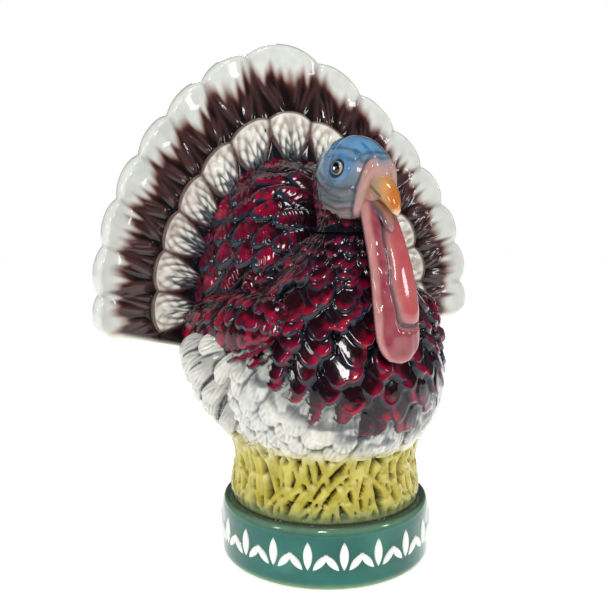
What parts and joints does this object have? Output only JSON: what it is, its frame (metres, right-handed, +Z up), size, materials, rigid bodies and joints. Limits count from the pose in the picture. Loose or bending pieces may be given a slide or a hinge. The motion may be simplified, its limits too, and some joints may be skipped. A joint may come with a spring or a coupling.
{
  "type": "ceramic turkey decanter",
  "caption": "Glazed ceramic decanter shaped as a strutting turkey with a fanned tail on a round plinth; the head lifts off as a cork stopper.",
  "frame": {"origin": "centre of the plinth's underside, on the surface that it stands on", "axes": "+Z up, the bird faces -Y, its left side is +X"},
  "size_m": [0.2088, 0.133, 0.2491],
  "materials": {
    "teal_glaze": "clear high-gloss glaze over hand colouring",
    "white_relief": "clear high-gloss glaze over hand colouring",
    "grass_glaze": "clear high-gloss glaze over hand colouring",
    "maroon_glaze": "clear high-gloss glaze over hand colouring",
    "cream_glaze": "clear high-gloss glaze over hand colouring",
    "brown_glaze": "clear high-gloss glaze over hand colouring",
    "blue_glaze": "clear high-gloss glaze over hand colouring",
    "beak_glaze": "clear high-gloss glaze over hand colouring",
    "wattle_glaze": "clear high-gloss glaze over hand colouring",
    "eye_glaze": "clear high-gloss glaze over hand colouring",
    "cork": "matte natural cork"
  },
  "bodies": {
    "decanter": {"plinth": "teal_glaze", "plinth_frieze": "white_relief", "grass_collar": "grass_glaze", "body_shell": "maroon_glaze", "neck": "maroon_glaze", "back_hump": "maroon_glaze", "left_wing": "maroon_glaze", "right_wing": "maroon_glaze", "left_quills": "cream_glaze", "right_quills": "cream_glaze", "tail_fan": "brown_glaze", "tail_coverts": "cream_glaze", "rump": "cream_glaze"},
    "stopper": {"head_shell": "blue_glaze", "beak_upper": "beak_glaze", "beak_lower": "beak_glaze", "wattle": "wattle_glaze", "left_eye": "eye_glaze", "right_eye": "eye_glaze", "stopper_cork": "cork"}
  },
  "joints": [
    {"name": "stopper_lift", "type": "slide", "parent": "decanter", "child": "stopper", "axis": [0, 0, 1], "range_m": [0, 0.045]}
  ]
}
